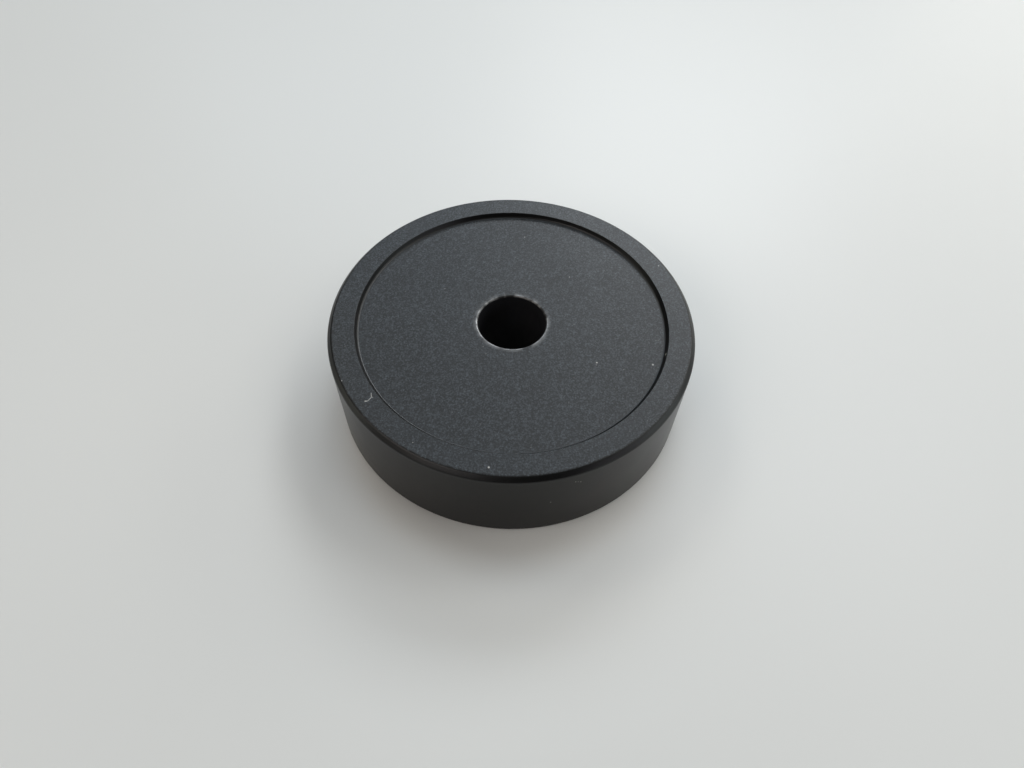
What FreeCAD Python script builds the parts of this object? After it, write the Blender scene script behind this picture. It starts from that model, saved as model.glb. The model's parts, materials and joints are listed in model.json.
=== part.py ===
import FreeCAD, Part
import os
from types import SimpleNamespace

import Sketcher

# Record spindle adapter: one disc turned from aluminium bar. It drops into the large middle hole of a
# record and centres it on a thin turntable spindle. The origin is the middle of the underside, and +Z
# points up along the spindle. All sizes are in millimetres.

# Driving dimensions: alias, size and what it measures.
SIZES = (
    ("outer_diameter", 38.0, "side wall, a loose fit in the record's middle hole"),
    ("overall_height", 10.2, "underside to the top of the rim"),
    ("bore_diameter", 7.15, "through bore for the turntable spindle"),
    ("rim_width", 2.78, "raised ring, from the side wall to the top of the recess wall"),
    ("recess_depth", 0.52, "rim down to the floor of the recess"),
    ("recess_wall_run", 0.24, "how far the sloping recess wall leans in from the rim to the floor"),
    ("recess_corner_radius", 0.30, "tool nose radius between recess wall and floor"),
    ("recess_lip_radius", 0.05, "rounded inner edge of the rim"),
    ("rim_chamfer", 0.47, "45 degree bevel on the outer edge of the rim"),
    ("bevel_softening", 0.35, "blasted radius on both edges of that bevel"),
    ("bore_mouth_radius", 0.2, "rounded upper mouth of the bore"),
    ("base_chamfer", 0.2, "edge break round the underside and at the bore's lower mouth"),
)

PART_NAME = "adapter_disc"
FULL_TURN = 360.0
MATCH_TOLERANCE = 1e-4


def make_sheet(doc):
    """The spreadsheet that holds every driving dimension under its alias."""
    sheet = doc.addObject("Spreadsheet::Sheet", "Sizes")
    for row, (alias, size, meaning) in enumerate(SIZES, start=1):
        sheet.set(f"A{row}", alias)
        sheet.set(f"B{row}", str(size))
        sheet.setAlias(f"B{row}", alias)
        sheet.set(f"C{row}", meaning)
    doc.recompute()
    return sheet


def section_levels(sheet):
    """Radii and heights of the section's corners, worked out from the sheet."""
    outer = sheet.outer_diameter / 2
    recess = outer - sheet.rim_width
    return SimpleNamespace(
        outer=outer,
        bore=sheet.bore_diameter / 2,
        recess=recess,
        recess_foot=recess - sheet.recess_wall_run,
        base=0.0,
        top=sheet.overall_height,
        floor=sheet.overall_height - sheet.recess_depth,
    )


def draw_half_section(body, at):
    """Half section of the disc: underside, side wall, rim, recess wall, recess floor and bore wall."""
    sketch = body.newObject("Sketcher::SketchObject", "half_section")
    upright_plane = next(f for f in body.Origin.OriginFeatures if f.Role == "XZ_Plane")
    sketch.AttachmentSupport = [(upright_plane, "")]
    sketch.MapMode = "FlatFace"

    corners = (
        (at.bore, at.base),
        (at.outer, at.base),
        (at.outer, at.top),
        (at.recess, at.top),
        (at.recess_foot, at.floor),
        (at.bore, at.floor),
    )
    points = [FreeCAD.Vector(radius, height, 0) for radius, height in corners]
    lines = [Part.LineSegment(a, b) for a, b in zip(points, points[1:] + points[:1])]
    outline = list(sketch.addGeometry(lines))
    underside, side_wall, rim, recess_wall, recess_floor, bore_wall = outline

    first_end, second_end = 1, 2
    for line, following in zip(outline, outline[1:] + outline[:1]):
        sketch.addConstraint(Sketcher.Constraint("Coincident", line, second_end, following, first_end))
    for line in (underside, rim, recess_floor):
        sketch.addConstraint(Sketcher.Constraint("Horizontal", line))
    for line in (side_wall, bore_wall):
        sketch.addConstraint(Sketcher.Constraint("Vertical", line))

    # The sketch's own origin lies on the spindle's axis, and its horizontal axis is the ground.
    ground = -1
    origin = (ground, 1)
    sketch.addConstraint(Sketcher.Constraint("PointOnObject", underside, first_end, ground))
    dimensions = (
        ("bore_radius", "DistanceX", origin, (underside, first_end), "Sizes.bore_diameter / 2"),
        ("outer_radius", "DistanceX", origin, (underside, second_end), "Sizes.outer_diameter / 2"),
        ("height", "DistanceY", (side_wall, first_end), (side_wall, second_end), "Sizes.overall_height"),
        ("rim_width", "DistanceX", (rim, second_end), (rim, first_end), "Sizes.rim_width"),
        ("depth", "DistanceY", (recess_wall, second_end), (recess_wall, first_end), "Sizes.recess_depth"),
        ("lean", "DistanceX", (recess_wall, second_end), (recess_wall, first_end), "Sizes.recess_wall_run"),
    )
    for name, direction, start, end, expression in dimensions:
        span = sketch.getPoint(*end) - sketch.getPoint(*start)
        drawn_size = span.x if direction == "DistanceX" else span.y
        index = sketch.addConstraint(Sketcher.Constraint(direction, *start, *end, drawn_size))
        sketch.renameConstraint(index, name)
        sketch.setExpression(f"Constraints.{name}", expression)
    return sketch


def turn_section(body, sketch):
    """The section turned a full circle about the spindle's axis."""
    turned = body.newObject("PartDesign::Revolution", "turned_section")
    turned.Profile = sketch
    turned.ReferenceAxis = (sketch, ["V_Axis"])
    turned.Angle = FULL_TURN
    return turned


def ring_edge(shape, radius, height):
    """Name of the circular edge with that radius at that height."""
    for number, edge in enumerate(shape.Edges, start=1):
        ring = edge.Curve
        if not isinstance(ring, Part.Circle):
            continue
        same_radius = abs(ring.Radius - radius) < MATCH_TOLERANCE
        same_height = abs(ring.Center.z - height) < MATCH_TOLERANCE
        if same_radius and same_height:
            return f"Edge{number}"
    raise ValueError(f"no edge of radius {radius:.3f} at height {height:.3f}")


def dress_edges(body, kind, name, rings, size_name, expression):
    """A fillet or chamfer on the given rings of the body so far, sized from the sheet."""
    body.Document.recompute()
    before = body.Tip
    feature = body.newObject(f"PartDesign::{kind}", name)
    feature.Base = (before, [ring_edge(before.Shape, radius, height) for radius, height in rings])
    feature.setExpression(size_name, expression)
    return feature


def build_disc(doc, sheet):
    """The whole adapter: the turned section, then its edges in the order they are cut."""
    body = doc.addObject("PartDesign::Body", "AdapterBody")
    body.Label = PART_NAME
    body.Placement = FreeCAD.Placement()
    at = section_levels(sheet)
    turn_section(body, draw_half_section(body, at))

    recess_corner = [(at.recess_foot, at.floor)]
    dress_edges(body, "Fillet", "recess_corner", recess_corner, "Radius", "Sizes.recess_corner_radius")
    dress_edges(body, "Fillet", "recess_lip", [(at.recess, at.top)], "Radius", "Sizes.recess_lip_radius")

    dress_edges(body, "Chamfer", "rim_bevel", [(at.outer, at.top)], "Size", "Sizes.rim_chamfer")
    bevel = sheet.rim_chamfer
    bevel_edges = [(at.outer - bevel, at.top), (at.outer, at.top - bevel)]
    dress_edges(body, "Fillet", "soft_bevel_edges", bevel_edges, "Radius", "Sizes.bevel_softening")

    dress_edges(body, "Fillet", "bore_mouth", [(at.bore, at.floor)], "Radius", "Sizes.bore_mouth_radius")
    underside_edges = [(at.outer, at.base), (at.bore, at.base)]
    dress_edges(body, "Chamfer", "underside_edges", underside_edges, "Size", "Sizes.base_chamfer")
    doc.recompute()
    return body


def check_document(doc, part):
    """Stops the build if any object failed or the part isn't one valid solid."""
    failed = [item.Name for item in doc.Objects if {"Invalid", "Error"} & set(item.State)]
    if failed:
        raise RuntimeError(f"objects failed to build: {failed}")
    shape = part.Shape
    if shape.isNull() or not shape.isValid() or len(shape.Solids) != 1:
        raise RuntimeError(f"{part.Label} isn't one valid solid")


def main():
    doc = FreeCAD.newDocument("spindle_adapter")
    disc = build_disc(doc, make_sheet(doc))
    check_document(doc, disc)
    os.makedirs("parts", exist_ok=True)
    disc.Shape.exportStep(f"parts/{disc.Label}.step")
    box = disc.Shape.optimalBoundingBox()
    print(f"{disc.Label}: {box.XLength:.3f} x {box.YLength:.3f} x {box.ZLength:.3f} mm")
    print(f"volume {disc.Shape.Volume:.1f} mm3")


main()
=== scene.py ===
import json
import math

import bmesh
import bpy
from mathutils import Matrix, Vector


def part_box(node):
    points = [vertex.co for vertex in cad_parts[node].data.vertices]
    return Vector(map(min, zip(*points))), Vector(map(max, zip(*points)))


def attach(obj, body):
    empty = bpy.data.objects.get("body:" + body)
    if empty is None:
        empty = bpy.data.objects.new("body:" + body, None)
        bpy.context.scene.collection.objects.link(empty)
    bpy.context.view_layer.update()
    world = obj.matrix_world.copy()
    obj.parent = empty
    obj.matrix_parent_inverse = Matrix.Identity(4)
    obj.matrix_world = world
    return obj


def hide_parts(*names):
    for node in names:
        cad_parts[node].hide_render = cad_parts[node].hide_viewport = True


# Record spindle adapter: a black anodised disc with a bead-blasted top, on a pale floor.
# The disc is modelled in millimetres and brought to metres at the end.

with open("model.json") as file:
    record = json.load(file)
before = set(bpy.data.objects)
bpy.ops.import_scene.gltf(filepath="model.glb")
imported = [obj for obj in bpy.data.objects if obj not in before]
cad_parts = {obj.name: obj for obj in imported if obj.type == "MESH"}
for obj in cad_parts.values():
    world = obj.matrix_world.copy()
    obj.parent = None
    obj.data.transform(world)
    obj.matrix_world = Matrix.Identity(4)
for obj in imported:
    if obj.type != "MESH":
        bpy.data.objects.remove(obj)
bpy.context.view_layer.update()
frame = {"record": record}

MM = 0.001
NODE = "adapter_disc"

# Sizes of the disc in millimetres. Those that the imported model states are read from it.
MOUNTS = {mount["name"]: mount["dims"] for mount in frame["record"]["mounts"]}
OUTER_RADIUS = MOUNTS["record_seat"]["r_mm"]
BORE_RADIUS = MOUNTS["spindle_bore"]["r_mm"]
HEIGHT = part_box(NODE)[1].z / MM
RIM_WIDTH = 2.78
RECESS_DEPTH = 0.52
RECESS_WALL_RUN = 0.24
RECESS_CORNER_RADIUS = 0.30
RECESS_LIP_RADIUS = 0.05
RIM_CHAMFER = 0.47
BEVEL_ANGLE = math.radians(45)
BEVEL_SOFTENING = 0.35
BORE_MOUTH_RADIUS = 0.2
BASE_CHAMFER = 0.2
RECESS_RADIUS = OUTER_RADIUS - RIM_WIDTH
RECESS_FLOOR_RADIUS = RECESS_RADIUS - RECESS_WALL_RUN
RECESS_FLOOR = HEIGHT - RECESS_DEPTH

# How finely the disc is cut round its axis and across its rounded edges.
STEPS_ROUND = 360
CORNER_STEPS = 8
EDGE_STEPS = 4
ROUND_PROFILE = 0.5

# How near to its circle a corner has to lie, how far up or down the ends of the disc have to face, and
# the sharpest turn that is shaded smooth.
PLACE_TOLERANCE = 0.004
FACING = 0.5
SMOOTH_ANGLE = math.radians(30)

# Finishes: sizes in millimetres, colours in linear red, green and blue. A fade says from where to where a
# pattern comes in. Clouds are wide, faint changes of roughness.
CLOUD_ROUGHNESS = 0.06

# The blasted top. Its specks are the sum of a fine noise, wider patches and a random grey for each cell.
SPECK_SIZE = 0.15
PATCH_SIZE = 0.9
PATCH_SHARE = 0.15
CELL_SHARE = 0.5
SPECK_FADE = (0.65, 1.32)
# Painted highlights: the glints are sparse spots lighter than the grain, put into the top's colour.
GLINT_SIZE = 0.30
GLINT_FADE = (0.81, 0.90)
LUMP_SIZE = 0.17
LUMP_HEIGHT = 0.010
TOP_CLOUD_SIZE = 6.0
PIT_COLOUR = (0.001, 0.001, 0.001)
SPECK_COLOUR = (0.053, 0.062, 0.073)
PAINTED_GLINT_COLOUR = (0.10, 0.10, 0.10)
DUST_COLOUR = (0.45, 0.44, 0.42)
TOP_ROUGHNESS = 0.47
RIM_POLISH = 0.03
SPECK_POLISH = 0.05

# The rim's bevel and the recess wall.
EDGE_CLOUD_SIZE = 2.0
EDGE_BLACKS = ((0.002, 0.002, 0.002), (0.009, 0.009, 0.009))
EDGE_ROUGHNESS = 0.30
EDGE_GLOSS = 0.42

# The side and underside. The turning lines are drawn out round the disc and fine along its axis.
SIDE_CLOUD_SIZE = 3.0
SIDE_BLACKS = ((0.002, 0.002, 0.002), (0.004, 0.004, 0.004))
SIDE_ROUGHNESS = 0.24
SIDE_GLOSS = 0.25
LINE_SIZE = 0.15
LINE_STRETCH = (0.03, 0.03, 1.0)
LINE_ROUGHNESS = 0.04
MARK_COLOUR = (0.30, 0.30, 0.28)

# The inside of the bore. Its blacks are lighter than the side's, as painted light for the little light that
# reaches into it.
BORE_CLOUD_SIZE = 3.0
BORE_PAINTED_LIGHT_BLACKS = ((0.014, 0.014, 0.016), (0.018, 0.018, 0.020))
BORE_ROUGHNESS = 0.45
BORE_GLOSS = 0.25

# The worn ring round the bore's mouth: how far it reaches, how patchy it is and what shows there.
WORN_REACH = 4.2
WEAR_SIZE = 0.9
WEAR_FADE = (0.25, 0.65)
RUBBED_COLOUR = (0.20, 0.20, 0.20)
MOUTH_BLACK = (0.02, 0.02, 0.02)
BARE_METAL = (0.36, 0.36, 0.36)
BARE_ROUGHNESS = 0.36
SCUFF_SIZE = 0.3
SCUFF_ROUGHNESS = 0.14

# Spots on the disc: x, y, height and radius in millimetres. The core is the share of the radius that is
# fully covered.
SPOT_CORE = 0.4

# Patches where the worn ring stays black: the first two, on the far side, are painted shade; the rest keep
# it black.
BLACK_AND_SHADE_PATCHES = (
    (-0.30, 3.70, RECESS_FLOOR, 0.75),
    (-1.25, 3.45, RECESS_FLOOR, 0.60),
    (3.20, 1.80, RECESS_FLOOR, 0.65),
    (3.45, 0.90, RECESS_FLOOR, 0.50),
    (1.60, -3.30, RECESS_FLOOR, 0.70),
)

# Dust on the top and light marks on the side.
RIM_DUST = (
    (16.01, 8.29, HEIGHT, 0.09),
    (-1.67, -17.66, HEIGHT, 0.13),
    (-16.27, -8.64, HEIGHT, 0.07),
    (-8.71, -15.31, HEIGHT, 0.05),
)
RECESS_DUST = (
    (8.63, -5.07, RECESS_FLOOR, 0.12),
    (14.25, -5.11, RECESS_FLOOR, 0.13),
    (6.15, 6.66, RECESS_FLOOR, 0.07),
    (1.16, 12.76, RECESS_FLOOR, 0.07),
)
LINT = (
    (-13.67, -10.94, HEIGHT, 0.10),
    (-13.57, -10.93, HEIGHT, 0.08),
    (-13.46, -10.90, HEIGHT, 0.06),
    (-13.38, -10.82, HEIGHT, 0.06),
    (-13.32, -10.72, HEIGHT, 0.06),
    (-13.26, -10.63, HEIGHT, 0.06),
    (-13.20, -10.54, HEIGHT, 0.06),
    (-13.14, -10.44, HEIGHT, 0.07),
    (-13.04, -10.48, HEIGHT, 0.05),
    (-13.18, -10.33, HEIGHT, 0.06),
    (-13.20, -10.24, HEIGHT, 0.06),
    (-13.22, -10.14, HEIGHT, 0.06),
    (-13.23, -10.04, HEIGHT, 0.06),
)
WALL_DUST = ((15.61, -3.94, RECESS_FLOOR + RECESS_DEPTH / 2, 0.17),)
SIDE_MARKS = (
    (6.26, -17.94, 8.50, 0.09),
    (6.50, -17.85, 8.36, 0.06),
    (6.75, -17.76, 8.20, 0.09),
    (4.17, -18.54, 5.44, 0.08),
)

# The camera, in millimetres and degrees. The aim is the floor point in the middle of the picture.
PICTURE_WIDTH = 1024
FOCAL_PIXELS = 720.33
SENSOR_WIDTH = 36.0
CAMERA_DISTANCE = 83.016
CAMERA_ELEVATION = 53.688
CAMERA_AIM = (0.2235, -1.075, 0.0)
CAMERA_ROLL = 1.997
CAMERA_NEAR = 5.0

# Softboxes: name, azimuth from straight behind towards the right, elevation, width, height and glow.
# Angles are in degrees, sizes in millimetres. The glow is in red, green and blue, and 1 shows as white.
LAMP_DISTANCE = 600.0
LAMPS = (
    ("key_softbox", 15, 36, 260, 147, (7.80, 8.25, 8.60)),
    ("high_key_softbox", 45, 50, 207, 147, (4.90, 5.05, 5.10)),
    ("low_key_softbox", 45, 22, 298, 147, (2.95, 2.90, 2.75)),
    ("back_softbox", -15, 36, 260, 147, (2.15, 2.55, 2.95)),
    ("left_back_softbox", -45, 50, 207, 147, (3.40, 3.30, 3.00)),
    ("right_back_softbox", 75, 22, 298, 147, (1.60, 1.70, 1.68)),
    ("right_softbox", 95, 15, 311, 170, (1.65, 1.80, 1.80)),
    ("right_front_softbox", 125, 15, 311, 170, (1.00, 0.97, 1.05)),
    ("right_high_softbox", 88, 50, 400, 250, (1.42, 1.38, 1.30)),
    ("left_softbox", -90, 15, 311, 170, (1.20, 1.20, 1.05)),
    ("left_front_softbox", -120, 40, 440, 330, (1.48, 1.37, 1.28)),
    ("front_softbox", -150, 36, 260, 147, (1.95, 1.85, 1.85)),
    ("high_back_softbox", 0, 70, 280, 190, (1.35, 1.65, 1.95)),
    ("top_softbox", 0, 89, 420, 420, (0.40, 0.40, 0.38)),
)

# The floor ends short of the softboxes, and beyond it the camera sees a plain backdrop that sheds no light.
UNLIT = (0.0, 0.0, 0.0)
BACKDROP_COLOUR = (0.66, 0.66, 0.65)
FLOOR_COLOUR = (0.80, 0.80, 0.78)
FLOOR_DARKEST = 0.98
FLOOR_CLOUD_SIZE = 40.0
FLOOR_ROUGHNESS = 0.4
FLOOR_RADIUS = 340.0
FLOOR_GAP = 0.02

# Where a colour Mix node keeps its factor, its two colours and its result.
MIX_FACTOR, MIX_FROM, MIX_TO, MIX_RESULT = 0, 6, 7, 2


class Shade:
    """An output socket in a material's node tree. Arithmetic on it adds Math nodes."""

    def __init__(self, tree, output=None):
        self.tree = tree
        self.output = output

    def node(self, kind, settings=None, sockets=None, output=0):
        """A new node of that kind: its settings first, then the values or links of its sockets."""
        made = self.tree.nodes.new(kind)
        for name, value in (settings or {}).items():
            setattr(made, name, value)
        for key, value in (sockets or {}).items():
            if isinstance(value, Shade):
                self.tree.links.new(value.output, made.inputs[key])
            else:
                made.inputs[key].default_value = value
        return Shade(self.tree, made.outputs[output])

    def math(self, operation, *values):
        return self.node("ShaderNodeMath", {"operation": operation}, dict(enumerate(values)))

    def vector(self, operation, other, output="Vector"):
        """Vector Math with another vector, which is a shade or three numbers."""
        return self.node("ShaderNodeVectorMath", {"operation": operation}, {0: self, 1: other}, output)

    def __add__(self, other):
        return self.math("ADD", self, other)

    def __sub__(self, other):
        return self.math("SUBTRACT", self, other)

    def __rsub__(self, other):
        return self.math("SUBTRACT", other, self)

    def __mul__(self, other):
        return self.math("MULTIPLY", self, other)

    __radd__ = __add__
    __rmul__ = __mul__

    def rise(self, low, high):
        """0 below low, 1 above high and a smooth step between, or the other way round."""
        sockets = {"Value": self, "From Min": low, "From Max": high}
        return self.node("ShaderNodeMapRange", {"interpolation_type": "SMOOTHSTEP"}, sockets)

    def noise(self, size, detail=2.0):
        """Noise about 0.5 at this place, with lumps of that size in the place's unit."""
        sockets = {"Vector": self, "Scale": 1.0 / size, "Detail": detail}
        return self.node("ShaderNodeTexNoise", None, sockets)

    def cells(self, size):
        """A random grey for each cell of this place, with cells of that size in the place's unit."""
        sockets = {"Vector": self, "Scale": 1.0 / size}
        return self.node("ShaderNodeTexVoronoi", None, sockets, output="Color")

    def blend(self, colour, other):
        """A colour that turns into another where this mask is 1. Each is a shade or red, green and blue."""
        first, second = (part if isinstance(part, Shade) else (*part, 1.0) for part in (colour, other))
        sockets = {MIX_FACTOR: self, MIX_FROM: first, MIX_TO: second}
        return self.node("ShaderNodeMix", {"data_type": "RGBA"}, sockets, output=MIX_RESULT)

    def spots(self, places):
        """1 on small round spots of this place, given as x, y, height and radius, and 0 elsewhere."""
        mask = 0.0
        for x, y, z, radius in places:
            away = self.vector("DISTANCE", (x, y, z), output="Value")
            mask = self.math("MAXIMUM", away.rise(radius, SPOT_CORE * radius), mask)
        return mask


def new_material(name):
    """An empty material with its shader linked: the place on the disc in millimetres, and the shader."""
    material = bpy.data.materials.new(name)
    material.use_nodes = True
    tree = material.node_tree
    tree.nodes.clear()
    shader = tree.nodes.new("ShaderNodeBsdfPrincipled")
    surface = tree.nodes.new("ShaderNodeOutputMaterial")
    tree.links.new(shader.outputs["BSDF"], surface.inputs["Surface"])
    metres = Shade(tree).node("ShaderNodeTexCoord", output="Object")
    return material, metres.vector("MULTIPLY", (1.0 / MM,) * 3), shader


def feed(shader, **inputs):
    """Sets or links the shader's sockets, with underscores for the spaces in their names."""
    for name, value in inputs.items():
        socket = shader.inputs[name.replace("_", " ")]
        if isinstance(value, Shade):
            value.tree.links.new(value.output, socket)
        else:
            socket.default_value = value


def axis_distance(place):
    """How far a place on the top is from the middle of the bore."""
    return place.vector("DISTANCE", (0, 0, RECESS_FLOOR), output="Value")


def bore_wear_and_shade(place):
    """How far the black is rubbed off round the bore's mouth, unevenly and less further out, held back on
    patches that are partly painted shade.
    """
    patchy = place.noise(WEAR_SIZE).rise(*WEAR_FADE)
    near_bore = axis_distance(place).rise(WORN_REACH, BORE_RADIUS)
    return near_bore * patchy * (1 - place.spots(BLACK_AND_SHADE_PATCHES))


def blasted_black():
    """The bead-blasted top: a fine even grain in colour and relief, painted glints as sparse lighter spots,
    and a few specks of dust.
    """
    material, place, shader = new_material("blasted_black")
    patches = place.noise(PATCH_SIZE) * PATCH_SHARE
    uneven = place.noise(SPECK_SIZE) + patches + place.cells(SPECK_SIZE) * CELL_SHARE
    specks = uneven.rise(*SPECK_FADE)
    # Painted highlights: glints lighter than the grain, standing in for facets that catch the light.
    painted_glints = place.noise(GLINT_SIZE, detail=0.0).rise(*GLINT_FADE)
    dust = place.spots(RIM_DUST + RECESS_DUST + LINT)
    black = specks.blend(PIT_COLOUR, SPECK_COLOUR)
    black_with_painted_glints = painted_glints.blend(black, PAINTED_GLINT_COLOUR)
    # The worn ring's black patches on its far side are painted shade.
    rubbed = bore_wear_and_shade(place).blend(black_with_painted_glints, RUBBED_COLOUR)
    colour = dust.blend(rubbed, DUST_COLOUR)

    clouds = place.noise(TOP_CLOUD_SIZE)
    on_rim = axis_distance(place).rise(RECESS_RADIUS, RECESS_RADIUS + RECESS_LIP_RADIUS)
    dull = TOP_ROUGHNESS + clouds * CLOUD_ROUGHNESS
    roughness = dull - on_rim * RIM_POLISH - specks * SPECK_POLISH

    lumps = place.noise(LUMP_SIZE, detail=1.0) * LUMP_HEIGHT
    relief = place.node("ShaderNodeBump", None, {"Strength": 1.0, "Distance": MM, "Height": lumps})
    feed(shader, Base_Color=colour, Roughness=roughness, Normal=relief)
    return material


def soft_black():
    """The rim's bevel and the recess wall: smoother than the top and duller than the side."""
    material, place, shader = new_material("soft_black")
    black = place.noise(SPECK_SIZE).blend(*EDGE_BLACKS)
    colour = place.spots(WALL_DUST).blend(black, DUST_COLOUR)
    roughness = EDGE_ROUGHNESS + place.noise(EDGE_CLOUD_SIZE) * CLOUD_ROUGHNESS
    feed(shader, Base_Color=colour, Roughness=roughness, Specular_IOR_Level=EDGE_GLOSS)
    return material


def satin_black():
    """The smooth turned side and underside: faint turning lines and a few light marks."""
    material, place, shader = new_material("satin_black")
    clouds = place.noise(SIDE_CLOUD_SIZE)
    lines = place.vector("MULTIPLY", LINE_STRETCH).noise(LINE_SIZE, detail=3.0)
    colour = place.spots(SIDE_MARKS).blend(clouds.blend(*SIDE_BLACKS), MARK_COLOUR)
    roughness = SIDE_ROUGHNESS + clouds * CLOUD_ROUGHNESS + lines * LINE_ROUGHNESS
    feed(shader, Base_Color=colour, Roughness=roughness, Specular_IOR_Level=SIDE_GLOSS)
    return material


def deep_black():
    """The inside of the bore: dull and dark, its colour lifted above the side's as painted light for the
    little light that reaches in.
    """
    material, place, shader = new_material("deep_black")
    black = place.noise(BORE_CLOUD_SIZE).blend(*BORE_PAINTED_LIGHT_BLACKS)
    feed(shader, Base_Color=black, Roughness=BORE_ROUGHNESS, Specular_IOR_Level=BORE_GLOSS)
    return material


def bare_edge():
    """The bore's rounded upper mouth, where the metal shows through the rubbed black."""
    material, place, shader = new_material("bare_edge")
    # The worn ring's black patches on its far side are painted shade.
    bare = bore_wear_and_shade(place)
    roughness = BARE_ROUGHNESS + place.noise(SCUFF_SIZE) * SCUFF_ROUGHNESS
    feed(shader, Base_Color=bare.blend(MOUTH_BLACK, BARE_METAL), Metallic=bare, Roughness=roughness)
    return material


def pale_floor():
    """The plain pale floor, with a faint gloss."""
    material, place, shader = new_material("pale_floor")
    darker = [FLOOR_DARKEST * part for part in FLOOR_COLOUR]
    colour = place.noise(FLOOR_CLOUD_SIZE).blend(FLOOR_COLOUR, darker)
    feed(shader, Base_Color=colour, Roughness=FLOOR_ROUGHNESS)
    return material


def start_piece(name):
    """Names the primitive just added and opens it for editing."""
    piece = bpy.context.active_object
    piece.name = name
    piece.data.name = name
    bpy.ops.object.mode_set(mode="EDIT")
    return piece


def pick_faces(piece, wanted):
    """Selects only the faces for which wanted(face) is true."""
    bpy.ops.mesh.select_mode(type="FACE")
    bpy.ops.mesh.select_all(action="DESELECT")
    shape = bmesh.from_edit_mesh(piece.data)
    for face in shape.faces:
        face.select_set(wanted(face))
    bmesh.update_edit_mesh(piece.data)


def on_ring(point, radius, height):
    """True where a corner lies on the circle of that radius at that height."""
    right_radius = abs(math.hypot(point.x, point.y) - radius) < PLACE_TOLERANCE
    return right_radius and abs(point.z - height) < PLACE_TOLERANCE


def bevel_rings(piece, rings, offset, steps):
    """Bevels the edges that run round the disc on the given circles."""
    bpy.ops.mesh.select_mode(type="EDGE")
    bpy.ops.mesh.select_all(action="DESELECT")
    shape = bmesh.from_edit_mesh(piece.data)
    for edge in shape.edges:
        ends = [corner.co for corner in edge.verts]
        edge.select_set(any(all(on_ring(end, *ring) for end in ends) for ring in rings))
    bmesh.update_edit_mesh(piece.data)
    bpy.ops.mesh.bevel(
        offset=offset, segments=steps, profile=ROUND_PROFILE, affect="EDGES", clamp_overlap=False
    )


def model_disc():
    """The disc, cut from a cylinder: recess, bore, then each edge with its bevel or rounding."""
    bpy.ops.object.select_all(action="DESELECT")
    bpy.ops.mesh.primitive_cylinder_add(
        vertices=STEPS_ROUND, radius=OUTER_RADIUS, depth=HEIGHT, location=(0, 0, HEIGHT / 2)
    )
    bpy.ops.object.transform_apply(location=True)
    disc = start_piece("blasted_disc")

    # The recess is sunk into the top with a sloping wall, and the bore's circle is marked on its floor.
    pick_faces(disc, lambda face: face.normal.z > FACING)
    bpy.ops.mesh.inset(thickness=RIM_WIDTH)
    bpy.ops.mesh.inset(thickness=RECESS_WALL_RUN, depth=-RECESS_DEPTH)
    bpy.ops.mesh.inset(thickness=RECESS_FLOOR_RADIUS - BORE_RADIUS)

    # The same circle is marked on the underside, and the two are bridged into the bore.
    pick_faces(disc, lambda face: face.normal.z < -FACING)
    bpy.ops.mesh.inset(thickness=OUTER_RADIUS - BORE_RADIUS)
    pick_faces(disc, lambda face: len(face.verts) == STEPS_ROUND)
    bpy.ops.mesh.bridge_edge_loops()

    # A rounding starts at its radius times the tangent of half the turn between its two faces.
    wall_turn = math.tan(math.atan2(RECESS_DEPTH, RECESS_WALL_RUN) / 2)
    bevel_rings(disc, [(RECESS_FLOOR_RADIUS, RECESS_FLOOR)], RECESS_CORNER_RADIUS * wall_turn, CORNER_STEPS)
    bevel_rings(disc, [(RECESS_RADIUS, HEIGHT)], RECESS_LIP_RADIUS * wall_turn, EDGE_STEPS)
    bevel_turn = math.tan(BEVEL_ANGLE / 2)
    bevel_rings(disc, [(OUTER_RADIUS, HEIGHT)], RIM_CHAMFER, 1)
    bevel_edges = [(OUTER_RADIUS - RIM_CHAMFER, HEIGHT), (OUTER_RADIUS, HEIGHT - RIM_CHAMFER)]
    bevel_rings(disc, bevel_edges, BEVEL_SOFTENING * bevel_turn, CORNER_STEPS)
    bevel_rings(disc, [(BORE_RADIUS, RECESS_FLOOR)], BORE_MOUTH_RADIUS, EDGE_STEPS)
    bevel_rings(disc, [(OUTER_RADIUS, 0), (BORE_RADIUS, 0)], BASE_CHAMFER, 1)

    bpy.ops.mesh.select_all(action="SELECT")
    bpy.ops.mesh.normals_make_consistent(inside=False)
    finish_disc(disc)
    return disc


def paint(piece, material, wanted):
    """Gives a material of their own to the faces for which wanted(face) is true."""
    piece.data.materials.append(material)
    pick_faces(piece, wanted)
    piece.active_material_index = len(piece.data.materials) - 1
    bpy.ops.object.material_slot_assign()


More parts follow.
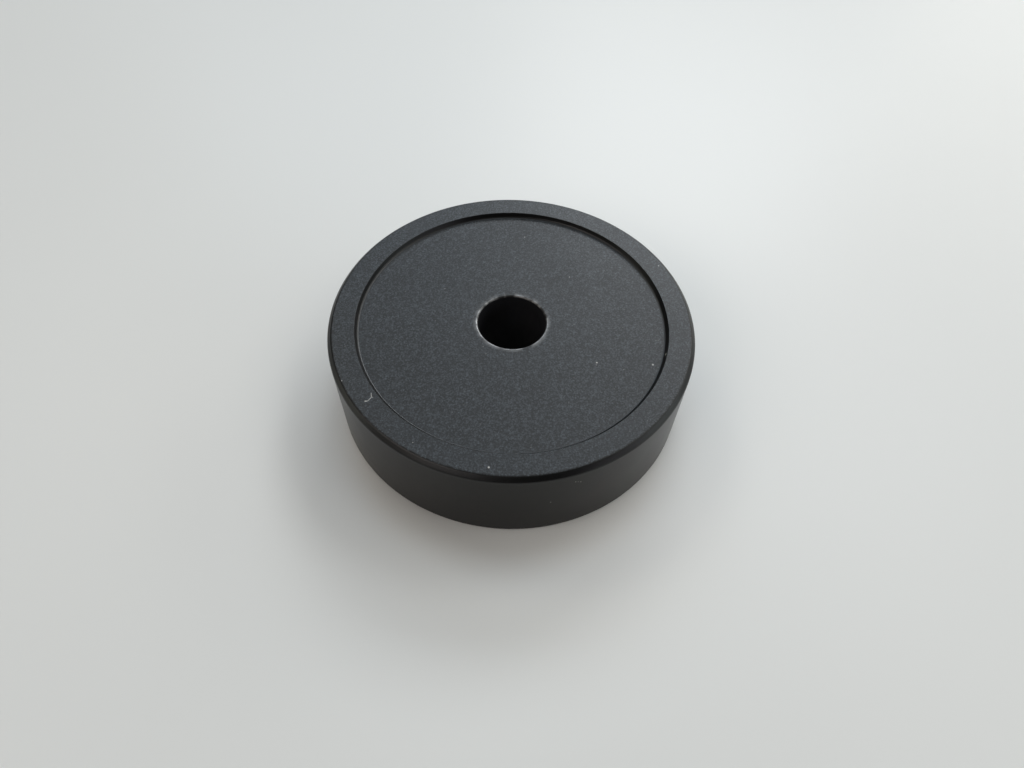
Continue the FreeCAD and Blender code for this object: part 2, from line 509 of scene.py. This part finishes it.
def finish_disc(disc):
    """Gives the faces their finishes, smooths the shading and brings the disc to metres."""
    bevel_foot = HEIGHT - RIM_CHAMFER - BEVEL_SOFTENING
    mouth_reach = BORE_RADIUS + BORE_MOUTH_RADIUS
    corner_start = RECESS_FLOOR_RADIUS - RECESS_CORNER_RADIUS

    def is_top(face):
        return face.calc_center_median().z > bevel_foot

    def is_cut_edge(face):
        reach = face.calc_center_median().xy.length
        on_bevel = reach > OUTER_RADIUS - RIM_CHAMFER
        on_recess_wall = corner_start < reach < RECESS_RADIUS
        return is_top(face) and (on_bevel or on_recess_wall)

    def is_bore(face):
        return face.calc_center_median().xy.length < mouth_reach

    def is_bore_mouth(face):
        return is_top(face) and is_bore(face)

    paint(disc, satin_black(), lambda face: True)
    paint(disc, blasted_black(), is_top)
    paint(disc, soft_black(), is_cut_edge)
    paint(disc, deep_black(), is_bore)
    paint(disc, bare_edge(), is_bore_mouth)
    bpy.ops.object.mode_set(mode="OBJECT")

    bpy.ops.object.shade_smooth_by_angle(angle=SMOOTH_ANGLE)
    flat_faces_first = disc.modifiers.new("flat_faces_first", "WEIGHTED_NORMAL")
    flat_faces_first.keep_sharp = True
    bpy.ops.object.modifier_apply(modifier=flat_faces_first.name)
    disc.scale = (MM, MM, MM)
    bpy.ops.object.transform_apply(scale=True)


def lay_floor():
    """The round pale floor, a hair below the disc."""
    bpy.ops.object.select_all(action="DESELECT")
    bpy.ops.mesh.primitive_circle_add(
        vertices=STEPS_ROUND, radius=FLOOR_RADIUS * MM, fill_type="NGON", location=(0, 0, -FLOOR_GAP * MM)
    )
    bpy.ops.object.transform_apply(location=True)
    floor = bpy.context.active_object
    floor.name = "pale_floor"
    floor.data.materials.append(pale_floor())


def direction(azimuth, elevation):
    """Unit vector from the disc: azimuth 0 is straight behind it and 90 is to its right."""
    turn, lift = math.radians(azimuth), math.radians(elevation)
    level = math.cos(lift)
    return Vector((math.sin(turn) * level, math.cos(turn) * level, math.sin(lift)))


def hang_lamps():
    """The softboxes round the disc, each facing it."""
    for name, azimuth, elevation, width, height, glow in LAMPS:
        towards = direction(azimuth, elevation)
        bpy.ops.object.light_add(type="AREA", location=towards * LAMP_DISTANCE * MM)
        lamp = bpy.context.active_object
        lamp.name = name
        lamp.rotation_euler = towards.to_track_quat("Z", "Y").to_euler()
        lamp.visible_camera = False
        lamp.data.shape = "RECTANGLE"
        lamp.data.size = width * MM
        lamp.data.size_y = height * MM
        lamp.data.color = [part / max(glow) for part in glow]
        lamp.data.energy = max(glow) * math.pi * lamp.data.size * lamp.data.size_y


def light_room():
    """A pale backdrop that only the camera sees, and a plain rendering of the colours."""
    world = bpy.data.worlds.new("studio")
    world.use_nodes = True
    tree = world.node_tree
    seen = Shade(tree).node("ShaderNodeLightPath", output="Is Camera Ray")
    backdrop = seen.blend(UNLIT, BACKDROP_COLOUR)
    tree.links.new(backdrop.output, tree.nodes["Background"].inputs["Color"])
    bpy.context.scene.world = world
    bpy.context.scene.view_settings.view_transform = "Standard"


def place_camera():
    """The camera in front of the disc, looking down on it."""
    lift = math.radians(CAMERA_ELEVATION)
    place = Vector((0, -math.cos(lift), math.sin(lift))) * CAMERA_DISTANCE * MM
    bpy.ops.object.camera_add(location=place)
    camera = bpy.context.active_object
    camera.name = "camera"
    looking = Vector(CAMERA_AIM) * MM - place
    upright = looking.to_track_quat("-Z", "Y").to_matrix()
    camera.rotation_euler = (upright @ Matrix.Rotation(math.radians(CAMERA_ROLL), 3, "Z")).to_euler()
    camera.data.sensor_width = SENSOR_WIDTH
    camera.data.lens = FOCAL_PIXELS / PICTURE_WIDTH * SENSOR_WIDTH
    camera.data.clip_start = CAMERA_NEAR * MM
    bpy.context.scene.camera = camera


disc = model_disc()
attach(disc, "root")
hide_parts(NODE)
lay_floor()
hang_lamps()
light_room()
place_camera()
